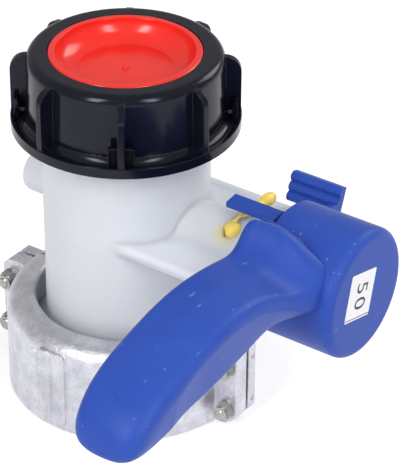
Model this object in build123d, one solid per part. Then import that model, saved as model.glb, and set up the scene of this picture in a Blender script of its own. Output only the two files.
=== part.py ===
from build123d import *
import math
import os

# Butterfly outlet valve for a plastic liquid tank, standing on its inlet clamp.
# Millimetres. The origin is the centre of the clamp's bottom face.
# +Z runs along the flow to the outlet, +X along the spindle to the handle,
# and the closed handle points along -Y.

# Driving sizes: tube and outlet spigot
tube_od = 74.0
tube_wall = 5.5
shaft_height = 90.2
thread_start_z = 136.0
thread_depth = 2.2
spigot_length = 21.0
spigot_lead_in = 1.0

# Driving sizes: inlet flange and gasket
flange_bottom_z = 22.0
flange_reach = 10.5
flange_edge_height = 5.0
flange_cone_height = 5.4
flange_cone_reach = 7.3
nose_wall = 3.5
nose_length = 6.0
gasket_thickness = 3.4
gasket_rim_inset = 3.0
gasket_clearance = 0.2

# Driving sizes: clamp
clamp_height = 46.0
clamp_wall = 6.0
clamp_groove_clearance = 1.5
clamp_seat_clearance = 0.3
clamp_mouth_gap = 4.6
clamp_mouth_chamfer = 1.2
clamp_lip_reach = 7.0
clamp_lip_height = 5.0
clamp_lip_cone_height = 5.2
clamp_shoulder_radius = 8.0
clamp_top_fall = 1.5
clamp_foot_radius = 1.0
clamp_split_gap = 2.0
lug_length = 10.8
lug_front_thickness = 7.7
lug_rear_thickness = 5.0
lug_bottom_z = 2.5
lug_top_drop = 4.0
lug_chamfer = 3.3
pad_left_x = -8.1
pad_width = 14.3
pad_strip_width = 6.7
pad_rise = 0.8
pad_strip_rise = 0.6
pad_bottom_z = 2.5
pad_top_drop = 5.0
pad_corner_radius = 2.5
pad_root_depth = 3.0

# Driving sizes: clamp fasteners
bolt_d = 5.0
bolt_hole_clearance = 0.3
bolt_stand_off = 6.2
bolt_above_lug_bottom = 7.0
bolt_below_lug_top = 9.7
bolt_end_chamfer = 0.5
bolt_end_past_nut = 0.5
hex_across_flats = 8.0
bolt_head_height = 2.8
bolt_pocket_depth = 3.0
bolt_pocket_clearance = 0.15
nut_height = 3.8
nut_bore_clearance = 0.05
nut_collar_height = 1.2
nut_collar_wall = 1.0
nut_ring_seat = 0.5
nut_ring_thickness = 0.8
nut_ring_clearance = 0.05
washer_od = 9.0
washer_thickness = 1.0
washer_clearance = 0.15

# Driving sizes: neck, web and rear boss on the body
neck_od = 28.0
neck_reach = 36.6
web_thickness = 4.4
web_rail_d = 6.4
web_rear_inset = 1.7
web_front_inset = 5.5
web_fillet = 5.0
rear_boss_od = 19.4
rear_boss_reach = 16.0
rear_boss_rounding = 3.0
rear_boss_end_wall = 4.0

# Driving sizes: spindle and its rings
journal_d = 21.0
journal_clearance = 0.08
journal_start_gap = 1.0
stub_d = 10.8
stub_clearance = 0.06
stub_chamfer = 0.6
drive_square = 11.0
drive_clearance = 0.05
spindle_tail_play = 0.5
handle_square = 14.0
handle_square_length = 28.0
handle_square_chamfer = 0.8
oring_section_d = 2.9
oring_offsets = (4.0, 12.0)
oring_groove_width = 3.6
oring_groove_clearance = 0.1
oring_clearance = 0.03

# Driving sizes: disc and rim seal
disc_clearance = 1.3
disc_centre_thickness = 9.0
disc_rim_thickness = 10.0
disc_rim_width = 6.0
disc_rim_slope = 2.0
disc_rim_blend = 1.2
disc_hub_d = 21.0
disc_rib_offset = 14.0
disc_rib_thickness = 2.4
seal_bore_gap = 0.3
seal_depth = 4.2
seal_height = 5.0
seal_eye_d = 19.0
seal_hole_d = 15.9
seal_clearance = 0.05

# Driving sizes: retaining pin
pin_offset_x = 22.0
pin_offset_z = 11.6
pin_d = 5.0
pin_hole_clearance = 0.06
pin_groove_clearance = 0.2
pin_groove_side_play = 0.2
pin_front_y = -5.5
pin_rear_y = 28.5
pin_tail_d = 6.0
pin_tail_length = 11.0

# Driving sizes: handle hub
hub_gap = 8.5
hub_length = 38.9
hub_od = 58.0
hub_end_rounding = 4.0
hub_wall = 4.2
hub_end_wall = 5.0
hub_boss_d = 27.0
hub_boss_play = 0.2
hub_boss_gap = 1.0
hub_rib_thickness = 2.6
hub_rib_gap = 1.5
hub_socket_end_play = 0.6
lock_ring_inner_d = 38.0
lock_ring_width = 5.0
lock_notch_width = 7.6
handle_swing = 90.0

# Driving sizes: hand lever. Each row is one section, from the hub to the tip. It gives
# the distance in front of the spindle, then six heights above the spindle: left top
# edge, crown, right top edge, crease, right and left lower edge. Then come the depth
# of the finger scoop, the flare to the right, and the radii of both right edges.
lever_gap = 4.0
lever_width = 34.0
lever_crown_share = 0.5
lever_edge_radius = 5.0
lever_crown_radius = 20.0
lever_left_radius_share = 0.75
lever_tip_reach = 148.5
lever_tip_steps = ((9.0, 0.7), (5.0, 2.0), (2.0, 4.2), (0.0, 7.5))
lever_rows = (
    (12.0, 25.0, 25.5, 18.0, 6.5, 3.0, -9.0, 4.0, 4.0, 9.0, 3.0),
    (19.0, 31.0, 32.0, 19.5, 6.5, 3.0, -9.0, 4.0, 4.0, 9.0, 3.0),
    (24.0, 35.0, 35.0, 19.0, 6.5, 3.0, -9.0, 4.0, 4.0, 9.0, 3.0),
    (28.0, 35.5, 33.0, 17.5, 6.8, 3.2, -9.0, 4.0, 3.8, 8.0, 3.0),
    (32.0, 32.0, 29.0, 16.5, 7.5, 3.6, -8.5, 4.5, 3.4, 7.0, 3.0),
    (36.5, 28.6, 26.4, 16.8, 9.0, 4.4, -7.5, 5.0, 2.6, 6.0, 3.5),
    (42.0, 27.6, 25.8, 18.4, 11.8, 5.0, -6.0, 5.5, 1.6, 5.5, 4.5),
    (50.0, 28.4, 27.8, 22.3, 16.0, 4.8, -3.0, 6.0, 0.6, 5.0, 5.0),
    (62.0, 29.9, 30.4, 26.8, 20.8, 1.8, -1.0, 6.0, 0.0, 5.0, 5.0),
    (78.0, 30.5, 31.8, 29.2, 23.4, -1.0, -2.0, 5.7, 0.0, 5.0, 5.0),
    (95.0, 28.8, 30.2, 27.8, 22.2, -3.2, -3.4, 5.7, 0.0, 5.0, 5.0),
    (110.0, 25.5, 26.8, 24.4, 18.4, -4.8, -4.8, 5.7, 0.0, 5.0, 5.5),
    (122.0, 22.1, 23.1, 20.5, 13.5, -5.8, -5.8, 3.5, 0.0, 6.0, 7.5),
    (131.0, 19.1, 19.9, 17.0, 9.0, -6.3, -6.3, 0.8, 0.0, 7.0, 10.0),
    (138.0, 16.0, 16.6, 14.0, 6.0, -6.8, -6.8, 0.0, 0.0, 7.0, 12.0),
)

# Driving sizes: latch
latch_play = 0.4
latch_plate_thickness = 3.0
latch_swing = 8.0
latch_eye_d = 11.0
latch_arm_width = 8.0
latch_nose_y = 6.0
latch_nose_rise = 15.5
latch_nose_d = 9.0
latch_bar_length = 21.7
latch_bar_front_y = 1.0
latch_bar_width = 7.2
latch_bar_rise = 19.8
latch_bar_thickness = 2.4
latch_bar_fall = 0.7
latch_lug_radius = 16.4
latch_lug_angle = 25.3
latch_lug_width = 5.0
latch_lug_height = 3.0
latch_lug_entry = 2.5
latch_pin_d = 4.0
latch_pin_clearance = 0.06
latch_pin_depth = 12.0
latch_pin_head_d = 7.0
latch_pin_head_height = 1.4
latch_pin_head_rounding = 0.6
latch_pin_play = 0.2
thumb_foot_reach = 15.7
thumb_foot_drop = 5.0
thumb_height = 13.9
thumb_lean = 21.0
thumb_length = 23.0
thumb_thickness = 3.4
thumb_groove_depth = 0.9
thumb_ridges = 3

# Driving sizes: screw cap
cap_below_thread = 3.4
cap_thread_allowance = 3.1
cap_wall = 4.7
cap_skirt_wall = 5.6
cap_flange_reach = 12.1
cap_flange_thickness = 4.5
cap_lip_width = 1.6
cap_lip_slope = 0.6
cap_groove_depth = 1.3
cap_top_reach = 4.4
cap_top_thickness = 3.6
cap_shoulder_radius = 4.0
cap_wing_count = 8
cap_wing_thickness = 3.0
cap_wing_top_radius = 7.0
cap_wing_edge_inset = 0.4
cap_wing_top_drop = 2.0
cap_wing_root_depth = 3.7
cap_first_wing_angle = -55.5
seal_tab_width = 11.0
seal_tab_height = 8.0
seal_tab_thickness = 1.6
seal_tab_inset = 2.6
seal_slot_length = 2.4
seal_slot_lift = 1.5
seal_slot_height = 2.0

# Driving sizes: cap insert and its gasket
insert_rim_clearance = 0.3
insert_rim_width = 3.0
insert_rim_rounding = 0.8
insert_rise = 0.2
insert_flange_thickness = 3.3
insert_flange_play = 0.3
insert_flange_inset = 0.9
insert_bowl_depth = 9.0
insert_bowl_run = 8.7
insert_bowl_sag = 1.4
insert_bowl_lift = 2.6
insert_floor_thickness = 2.2
insert_plug_clearance = 0.7
insert_plug_bevel = 3.0
insert_nub_d = 2.4
insert_nub_height = 1.1
insert_nub_rounding = 0.5
cap_gasket_thickness = 2.5

# Shared places worked out from the driving sizes
tube_r = tube_od / 2
bore_r = tube_r - tube_wall
thread_root_r = tube_r - thread_depth
spout_top_z = thread_start_z + spigot_length
flange_r = tube_r + flange_reach
flange_edge_z = flange_bottom_z + flange_edge_height
flange_cone_z = flange_edge_z + flange_cone_height
nose_r = bore_r + nose_wall
groove_r = flange_r + clamp_groove_clearance
clamp_outer_r = groove_r + clamp_wall
lip_top_z = clamp_lip_height + clamp_lip_cone_height
lug_top_z = clamp_height - lug_top_drop
bolt_x = clamp_outer_r + bolt_stand_off
bolt_zs = (lug_bottom_z + bolt_above_lug_bottom, lug_top_z - bolt_below_lug_top)
front_seat_y = -(clamp_split_gap / 2 + lug_front_thickness)
rear_seat_y = clamp_split_gap / 2 + lug_rear_thickness
pocket_floor_y = rear_seat_y - bolt_pocket_depth
nut_front_y = front_seat_y - washer_thickness - nut_height
neck_r = neck_od / 2
neck_end_x = tube_r + neck_reach
web_rear_y = tube_r - web_rear_inset
web_front_y = -(tube_r - web_front_inset)
rear_boss_end_x = -(tube_r + rear_boss_reach)
rear_bore_end_x = rear_boss_end_x + rear_boss_end_wall
neck_bore_r = journal_d / 2 + journal_clearance
stub_bore_r = stub_d / 2 + stub_clearance
disc_r = bore_r - disc_clearance
seal_r = bore_r - seal_bore_gap
seal_inner_r = seal_r - seal_depth
pin_x = tube_r + pin_offset_x
pin_z = shaft_height + pin_offset_z
pin_groove_r = pin_offset_z - pin_d / 2 - pin_groove_clearance
latch_plate_x = neck_end_x + latch_play
latch_plate_end_x = latch_plate_x + latch_plate_thickness
latch_pivot_y = web_rear_y
hub_start_x = latch_plate_end_x + hub_gap
hub_end_x = hub_start_x + hub_length
cup_r = hub_od / 2 - hub_wall
cup_end_x = hub_end_x - hub_end_wall
handle_square_start_x = latch_plate_end_x + hub_boss_gap
handle_square_end_x = handle_square_start_x + handle_square_length
lever_left_x = latch_plate_end_x + lever_gap
lever_right_x = lever_left_x + lever_width
cap_root_r = thread_root_r + cap_thread_allowance
cap_bottom_z = thread_start_z - cap_below_thread
gasket_top_z = spout_top_z + cap_gasket_thickness
insert_flange_top_z = gasket_top_z + insert_flange_thickness
cap_lip_z = insert_flange_top_z + insert_flange_play
cap_top_z = cap_lip_z + cap_top_thickness
plug_r = bore_r - insert_plug_clearance


def x_cylinder(radius, x0, x1, y=0.0, z=shaft_height):
    """A cylinder along X from x0 to x1."""
    plane = Plane(origin=(x0, y, z), x_dir=(0, 1, 0), z_dir=(1, 0, 0))
    return extrude(plane * Circle(radius), amount=x1 - x0)


def y_cylinder(radius, y0, y1, x, z):
    """A cylinder along Y from y0 to y1."""
    plane = Plane(origin=(x, y0, z), x_dir=(1, 0, 0), z_dir=(0, 1, 0))
    return extrude(plane * Circle(radius), amount=y1 - y0)


def z_cylinder(radius, z0, z1):
    """A cylinder about the flow axis from z0 to z1."""
    return Pos(0, 0, z0) * extrude(Circle(radius), amount=z1 - z0)


def x_square(side, x0, x1):
    """A square bar on the spindle axis."""
    plane = Plane(origin=(x0, 0, shaft_height), x_dir=(0, 1, 0), z_dir=(1, 0, 0))
    return extrude(plane * Rectangle(side, side), amount=x1 - x0)


def block(x0, x1, y0, y1, z0, z1):
    """A box given by its limits."""
    centre = Pos((x0 + x1) / 2, (y0 + y1) / 2, (z0 + z1) / 2)
    return centre * Box(x1 - x0, y1 - y0, z1 - z0)


def turned(points):
    """Revolve a closed outline of (radius, z) points about the flow axis."""
    face = make_face(Polyline(*[(r, 0, z) for r, z in points], close=True))
    return revolve(face, Axis.Z)


def yz_prism(points, x0, x1):
    """Extrude a closed outline of (y, z) points along X from x0 to x1."""
    face = make_face(Polyline(*[(x0, y, z) for y, z in points], close=True))
    return extrude(face, amount=x1 - x0, dir=(1, 0, 0))


def hexagon_along_y(x, z, y0, y1, clearance=0.0):
    """A hexagonal bar along Y with its flats at the spanner size."""
    corner_r = (hex_across_flats / 2 + clearance) / math.cos(math.pi / 6)
    plane = Plane(origin=(x, y0, z), x_dir=(1, 0, 0), z_dir=(0, 1, 0))
    return extrude(plane * RegularPolygon(corner_r, 6), amount=y1 - y0)


def bolt_places():
    """The four (x, z) places of the clamp bolts."""
    return [(side * bolt_x, z) for side in (-1, 1) for z in bolt_zs]


def make_valve_body():
    """Tube, inlet flange, outlet spigot, neck with its web, and the rear boss."""
    cone_r = flange_r - flange_cone_reach
    body = turned([
        (0, flange_bottom_z - nose_length),
        (nose_r, flange_bottom_z - nose_length),
        (nose_r, flange_bottom_z),
        (flange_r, flange_bottom_z),
        (flange_r, flange_edge_z),
        (cone_r, flange_cone_z),
        (tube_r, flange_cone_z + cone_r - tube_r),
        (tube_r, thread_start_z),
        (thread_root_r, thread_start_z + thread_depth),
        (thread_root_r, spout_top_z - spigot_lead_in),
        (thread_root_r - spigot_lead_in, spout_top_z),
        (0, spout_top_z),
    ])
    web = block(0, neck_end_x, web_front_y, web_rear_y,
                shaft_height - web_thickness / 2, shaft_height + web_thickness / 2)
    neck = x_cylinder(neck_r, 0, neck_end_x) + web
    neck = fillet(neck.edges().filter_by(Axis.X).filter_by(
        lambda e: abs(abs(e.center().Y) - neck_r) < 1.0), web_fillet)
    for rail_y in (web_front_y, web_rear_y):
        neck += x_cylinder(web_rail_d / 2, 0, neck_end_x, rail_y)
    boss = x_cylinder(rear_boss_od / 2, rear_boss_end_x, 0)
    boss = fillet(boss.faces().sort_by(Axis.X)[0].edges(), rear_boss_rounding)
    body = body + neck + boss
    body -= z_cylinder(bore_r, 0, spout_top_z + 1)
    body -= x_cylinder(neck_bore_r, 0, neck_end_x + 1)
    body -= x_cylinder(stub_bore_r, rear_bore_end_x, 0)
    body -= y_cylinder(pin_d / 2 + pin_hole_clearance, -neck_od, neck_od, pin_x, pin_z)
    body -= x_cylinder(latch_pin_d / 2, neck_end_x - latch_pin_depth, neck_end_x + 1,
                       latch_pivot_y)
    return body


def make_inlet_gasket():
    """Flat ring under the inlet flange, round the body's nose."""
    ring = z_cylinder(groove_r - gasket_rim_inset, flange_bottom_z - gasket_thickness,
                      flange_bottom_z)
    return ring - z_cylinder(nose_r + gasket_clearance, 0, flange_bottom_z + 1)


def clamp_ring():
    """The whole clamp section turned once, before it is split."""
    mouth_r = tube_r + clamp_mouth_gap
    lip_r = groove_r - clamp_lip_reach
    cone_slope = flange_cone_height / flange_cone_reach

    def seat_z(r):
        return flange_edge_z + clamp_seat_clearance + (flange_r - r) * cone_slope

    ring = turned([
        (lip_r, 0),
        (clamp_outer_r, 0),
        (clamp_outer_r, clamp_height - clamp_top_fall),
        (clamp_outer_r - clamp_shoulder_radius, clamp_height),
        (mouth_r + clamp_mouth_chamfer, clamp_height),
        (mouth_r, clamp_height - clamp_mouth_chamfer),
        (mouth_r, seat_z(mouth_r)),
        (groove_r, seat_z(groove_r)),
        (groove_r, lip_top_z),
        (lip_r, clamp_lip_height),
    ])

    def outer_circles(solid):
        circles = solid.edges().filter_by(GeomType.CIRCLE)
        return circles.filter_by(
            lambda e: abs(e.radius - clamp_outer_r) < 0.01).sort_by(Axis.Z)

    ring = fillet(outer_circles(ring)[0], clamp_foot_radius)
    return fillet(outer_circles(ring)[-1], clamp_shoulder_radius)


def lug(side, y_near, y_far):
    """One bolting lug, on the side given by the sign of X."""
    lug_end_x = clamp_outer_r + lug_length
    x_near = side * groove_r
    x_far = side * lug_end_x
    part = block(min(x_near, x_far), max(x_near, x_far), min(y_near, y_far),
                 max(y_near, y_far), lug_bottom_z, lug_top_z)
    corners = part.edges().filter_by(Axis.Y).filter_by(
        lambda e: abs(e.center().X) > lug_end_x - 0.1)
    return chamfer(corners, lug_chamfer)


def make_clamp_half(direction, seat_y):
    """Half of the clamp: direction is -1 for the front half and +1 for the rear."""
    split_y = direction * clamp_split_gap / 2
    far = 2 * clamp_outer_r
    half = clamp_ring() & block(-far, far, min(split_y, direction * far),
                                max(split_y, direction * far), -1, clamp_height + 1)
    for side in (-1, 1):
        half += lug(side, split_y, seat_y)
    half -= z_cylinder(groove_r, lip_top_z, flange_edge_z)
    for x, z in bolt_places():
        half -= y_cylinder(bolt_d / 2 + bolt_hole_clearance, -far / 2, far / 2, x, z)
    return half


def make_clamp_rear_half():
    """Rear half, whose lugs hold the bolt heads in hexagonal pockets."""
    half = make_clamp_half(1, rear_seat_y)
    for x, z in bolt_places():
        half -= hexagon_along_y(x, z, pocket_floor_y, rear_seat_y + 1, bolt_pocket_clearance)
    return half


def make_clamp_front_half():
    """Front half, which carries the cast pad with its raised strip."""
    half = make_clamp_half(-1, front_seat_y)
    top_z = clamp_height - pad_top_drop
    for width, rise in ((pad_width, pad_rise), (pad_strip_width, pad_rise + pad_strip_rise)):
        outline = Pos(pad_left_x + width / 2, (pad_bottom_z + top_z) / 2) * (
            RectangleRounded(width, top_z - pad_bottom_z, pad_corner_radius))
        plane = Plane(origin=(0, -clamp_outer_r - rise, 0), x_dir=(1, 0, 0), z_dir=(0, -1, 0))
        half += extrude(plane * outline, amount=-(rise + pad_root_depth))
    return half


def make_clamp_bolts():
    """Four hexagon head bolts, with their heads in the rear pockets."""
    head_y = pocket_floor_y
    end_y = nut_front_y - nut_collar_height - bolt_end_past_nut
    bolts = []
    for x, z in bolt_places():
        shank = y_cylinder(bolt_d / 2, end_y, head_y, x, z)
        shank = chamfer(shank.faces().sort_by(Axis.Y)[0].edges(), bolt_end_chamfer)
        bolts.append(shank + hexagon_along_y(x, z, head_y, head_y + bolt_head_height))
    return bolts


def make_clamp_washers():
    """Four plain washers, one under each nut."""
    hole_r = bolt_d / 2 + washer_clearance
    y0 = front_seat_y - washer_thickness
    washers = []
    for x, z in bolt_places():
        washer = y_cylinder(washer_od / 2, y0, front_seat_y, x, z)
        washers.append(washer - y_cylinder(hole_r, y0 - 1, front_seat_y + 1, x, z))
    return washers


def make_clamp_nuts():
    """Four locking nuts with a round collar that holds the nylon ring."""
    y1 = front_seat_y - washer_thickness
    collar_y = nut_front_y - nut_collar_height
    seat_r = bolt_d / 2 + nut_ring_seat
    nuts = []
    for x, z in bolt_places():
        nut = hexagon_along_y(x, z, nut_front_y, y1)
        nut += y_cylinder(seat_r + nut_collar_wall / 2, collar_y, nut_front_y, x, z)
        nut -= y_cylinder(bolt_d / 2 + nut_bore_clearance, collar_y - 1, y1 + 1, x, z)
        nut -= y_cylinder(seat_r, nut_front_y - nut_ring_thickness - nut_ring_clearance,
                          nut_front_y, x, z)
        nuts.append(nut)
    return nuts


def make_nut_rings():
    """Nylon locking rings inside the collars of the nuts."""
    outer_r = bolt_d / 2 + nut_ring_seat - nut_ring_clearance
    y1 = nut_front_y - nut_ring_clearance
    y0 = nut_front_y - nut_ring_thickness
    rings = []
    for x, z in bolt_places():
        ring = y_cylinder(outer_r, y0, y1, x, z)
        rings.append(ring - y_cylinder(bolt_d / 2 + nut_ring_clearance, y0 - 1, y1 + 1, x, z))
    return rings


def oring_xs():
    """Places of the two sealing rings along the spindle."""
    return [tube_r + offset for offset in oring_offsets]


def make_spindle():
    """Stub, square drive for the disc, sealed journal, and square for the handle."""
    journal_start_x = bore_r + journal_start_gap
    spindle = x_cylinder(stub_d / 2, rear_bore_end_x + spindle_tail_play, -disc_r + 1)
    spindle = chamfer(spindle.faces().sort_by(Axis.X)[0].edges(), stub_chamfer)
    spindle += x_square(drive_square, -disc_r, journal_start_x + 1)
    spindle += x_cylinder(journal_d / 2, journal_start_x, handle_square_start_x)
    square_end = x_square(handle_square, handle_square_start_x - 1, handle_square_end_x)
    spindle += chamfer(square_end.faces().sort_by(Axis.X)[-1].edges(), handle_square_chamfer)
    ring_floor_r = neck_bore_r - oring_section_d - oring_groove_clearance
    pin_half_width = pin_d / 2 + pin_hole_clearance + pin_groove_side_play
    grooves = [(x, oring_groove_width / 2, ring_floor_r) for x in oring_xs()]
    grooves.append((pin_x, pin_half_width, pin_groove_r))
    for x, half_width, floor_r in grooves:
        tool = x_cylinder(journal_d, x - half_width, x + half_width)
        spindle -= tool - x_cylinder(floor_r, 0, neck_end_x)
    return spindle


def make_spindle_orings():
    """Two rings that seal the journal in the neck."""
    rings = []
    centre_r = neck_bore_r - oring_section_d / 2 - oring_clearance
    for x in oring_xs():
        plane = Plane(origin=(x, 0, shaft_height), x_dir=(0, 1, 0), z_dir=(1, 0, 0))
        rings.append(plane.location * Torus(centre_r, oring_section_d / 2))
    return rings


def seal_envelope(height, eye_d):
    """The space of the rim seal: a flat ring with a round eye at each spindle end."""
    slab = z_cylinder(tube_od, shaft_height - height / 2, shaft_height + height / 2)
    space = slab + x_cylinder(eye_d / 2, -tube_od, tube_od)
    return space - z_cylinder(seal_inner_r, 0, spout_top_z)


def make_butterfly_disc():
    """Round closing disc with a thick rim, a hub along the spindle and two cross ribs."""
    rim_inner_r = disc_r - disc_rim_width
    slope_r = rim_inner_r - disc_rim_slope
    beyond_r = disc_r + 2
    rim = disc_rim_thickness / 2
    centre = disc_centre_thickness / 2
    step = centre - disc_rim_blend
    profile = [(0, centre), (slope_r, step), (rim_inner_r, rim), (beyond_r, rim)]
    mirrored = [(r, -height) for r, height in reversed(profile)]
    disc = turned([(r, shaft_height + height) for r, height in profile + mirrored])
    disc += x_cylinder(disc_hub_d / 2, -beyond_r, beyond_r)
    half_rib = disc_rib_thickness / 2
    for y in (-disc_rib_offset, disc_rib_offset):
        disc += block(-disc_r, disc_r, y - half_rib, y + half_rib,
                      shaft_height - rim, shaft_height + rim)
    disc &= Pos(0, 0, shaft_height) * Sphere(disc_r)
    disc -= seal_envelope(seal_height + 2 * seal_clearance, seal_eye_d + 2 * seal_clearance)
    return disc - x_square(drive_square + 2 * drive_clearance, -beyond_r, beyond_r)


def make_disc_seal():
    """Rubber rim seal of the disc, whose outside is part of a sphere."""
    seal = seal_envelope(seal_height, seal_eye_d) & (Pos(0, 0, shaft_height) * Sphere(seal_r))
    seal -= z_cylinder(seal_inner_r + seal_clearance, 0, spout_top_z)
    return seal - x_cylinder(seal_hole_d / 2, -tube_od, tube_od)


def make_retaining_pin():
    """Pin across the neck that runs in the spindle's groove, with rounded ends."""
    r = pin_d / 2
    tail_y = pin_rear_y - pin_tail_length
    pin = y_cylinder(r, pin_front_y, tail_y + 1, pin_x, pin_z)
    pin += Pos(pin_x, pin_front_y, pin_z) * Sphere(r)
    tail = scale(Sphere(pin_tail_d / 2), by=(1, pin_tail_length / pin_tail_d, 1))
    return pin + Pos(pin_x, tail_y + pin_tail_length / 2, pin_z) * tail


def lever_section(row, reach, inset):
    """One section of the lever, at its distance in front of the spindle."""
    left_top, crown, right_top, crease, right_low, left_low = row[1:7]
    scoop, flare, right_radius, low_radius = row[7:]
    left = lever_left_x + inset
    right = lever_right_x + flare - inset
    crown_x = left + (lever_right_x - lever_left_x - 2 * inset) * lever_crown_share
    outline = [
        (left, left_top - inset),
        (crown_x, crown - inset),
        (right, right_top - inset),
        (right, crease - inset / 2),
        (right - scoop, right_low + inset),
        (left, left_low + inset),
    ]
    section = make_face(Polyline(*outline, close=True))

    def shrunk(radius, rate):
        return max(1.0, radius - rate * inset)

    radii = {
        0: shrunk(lever_edge_radius, 0.55),
        1: lever_crown_radius,
        2: shrunk(right_radius, 0.9),
        4: shrunk(low_radius, 1.5),
        5: shrunk(low_radius, 1.5) * lever_left_radius_share,
    }
    for index, radius in radii.items():
        x, z = outline[index]
        corner = section.vertices().sort_by_distance((x, z, 0))[0]
        section = fillet(corner, radius)
    plane = Plane(origin=(0, -reach, shaft_height), x_dir=(1, 0, 0), z_dir=(0, -1, 0))
    return plane * section


def make_lever():
    """The hand lever: a smooth body through sections from the hub to the rounded tip."""
    sections = [lever_section(row, row[0], 0.0) for row in lever_rows]
    for depth, inset in lever_tip_steps:
        sections.append(lever_section(lever_rows[-1], lever_tip_reach - depth, inset))
    return loft(sections)


def swung_lug():
    """Angle from upright and distance from the spindle of the lug of the pressed latch."""
    angle = math.radians(latch_lug_angle)
    y = latch_lug_radius * math.sin(angle) - latch_pivot_y
    z = latch_lug_radius * math.cos(angle)
    swing = math.radians(latch_swing)
    swung_y = latch_pivot_y + y * math.cos(swing) + z * math.sin(swing)
    swung_z = z * math.cos(swing) - y * math.sin(swing)
    return math.degrees(math.atan2(swung_y, swung_z))


def make_handle():
    """Cup-shaped hub with its lock ring and drive boss, and the hand lever."""
    hub = x_cylinder(hub_od / 2, hub_start_x, hub_end_x)
    hub = fillet(hub.faces().sort_by(Axis.X)[-1].edges(), hub_end_rounding)
    handle = hub + make_lever()
    handle -= x_cylinder(cup_r, latch_plate_end_x, cup_end_x)
    ring_end_x = hub_start_x + lock_ring_width
    ring = x_cylinder(cup_r + 0.5, hub_start_x, ring_end_x)
    ring -= x_cylinder(lock_ring_inner_d / 2, 0, hub_end_x)
    for turn in (0, handle_swing):
        notch = Box(3 * lock_ring_width, lock_notch_width, cup_r)
        place = Pos(hub_start_x, 0, shaft_height) * Rot(turn - swung_lug(), 0, 0)
        ring -= place * Pos(0, 0, cup_r / 2 + lock_ring_inner_d / 4) * notch
    boss = x_cylinder(hub_boss_d / 2, handle_square_start_x + hub_boss_play, cup_end_x + 1)
    long = cup_r + 0.5
    thin = hub_rib_thickness / 2
    for y, z in ((long, thin), (thin, long)):
        ring += block(ring_end_x + hub_rib_gap, cup_end_x + 1, -y, y, shaft_height - z,
                      shaft_height + z)
    handle += ring + boss
    socket_side = handle_square + 2 * drive_clearance
    return handle - x_square(socket_side, handle_square_start_x,
                             handle_square_end_x + hub_socket_end_play)


def make_latch():
    """Rocking latch: a flat arm on a pin, with a nose bar, a lock lug and a thumb tab."""
    x0 = latch_plate_x
    x1 = latch_plate_end_x
    bar_start_x = x0 - latch_bar_length
    pivot = Vector(0, latch_pivot_y, shaft_height)
    nose = Vector(0, latch_nose_y, shaft_height + latch_nose_rise)
    reach = nose - pivot
    across = Vector(0, -reach.Z, reach.Y).normalized() * (latch_arm_width / 2)
    corners = [pivot + across, nose + across, nose - across, pivot - across]
    latch = yz_prism([(c.Y, c.Z) for c in corners], x0, x1)
    latch += x_cylinder(latch_eye_d / 2, x0, x1, latch_pivot_y)
    latch += x_cylinder(latch_nose_d / 2, x0, x1, nose.Y, nose.Z)
    foot = Vector(0, latch_pivot_y + thumb_foot_reach, shaft_height - thumb_foot_drop)
    lean = math.radians(thumb_lean)
    up = Vector(0, math.sin(lean), math.cos(lean))
    back = Vector(0, up.Z, -up.Y) * thumb_thickness
    middle = foot + up * (thumb_height / 2) + back
    latch += yz_prism([
        (latch_pivot_y, shaft_height + latch_eye_d / 2),
        (latch_pivot_y, shaft_height - latch_eye_d / 2),
        (foot.Y, foot.Z),
        (middle.Y, middle.Z),
    ], x0, x1)
    bar_top = shaft_height + latch_bar_rise
    bar_low = bar_top - latch_bar_fall
    bar_rear_y = latch_bar_front_y + latch_bar_width
    latch += yz_prism([
        (latch_bar_front_y, bar_low - latch_bar_thickness),
        (latch_bar_front_y, bar_low),
        (bar_rear_y, bar_top),
        (bar_rear_y, bar_top - latch_bar_thickness),
    ], bar_start_x, x1)
    latch += thumb_tab(foot, up, back, x1 - thumb_length - latch_plate_thickness, x1)
    lug_end_x = hub_start_x + latch_lug_entry
    lug_box = Pos(0, 0, latch_lug_radius) * Box(
        lug_end_x - x1 + 1, latch_lug_width, latch_lug_height)
    lug_place = Pos((lug_end_x + x1 - 1) / 2, 0, shaft_height)
    latch += lug_place * Rot(-latch_lug_angle, 0, 0) * lug_box
    eye_r = latch_pin_d / 2 + latch_pin_clearance
    return latch - x_cylinder(eye_r, x0 - 1, x1 + 1, latch_pivot_y)


def thumb_tab(foot, up, back, x0, x1):
    """Leaning thumb tab with ridges along X on its front face."""
    front = back.normalized() * -thumb_groove_depth
    points = [foot]
    step = thumb_height / thumb_ridges
    for i in range(thumb_ridges):
        low = foot + up * (i * step)
        points += [low + up * (step * 0.25) + front, low + up * (step * 0.7) + front]
        if i < thumb_ridges - 1:
            points.append(low + up * (step * 0.95))
    top = foot + up * thumb_height
    points += [top, top + back, foot + back]
    return yz_prism([(p.Y, p.Z) for p in points], x0, x1)


def make_latch_pin():
    """Headed pin pressed into the web's rail, on which the latch rocks."""
    head_x = latch_plate_end_x + latch_pin_play
    pin = x_cylinder(latch_pin_d / 2, neck_end_x - latch_pin_depth, head_x, latch_pivot_y)
    head = x_cylinder(latch_pin_head_d / 2, head_x, head_x + latch_pin_head_height,
                      latch_pivot_y)
    return pin + fillet(head.faces().sort_by(Axis.X)[-1].edges(), latch_pin_head_rounding)


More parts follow.
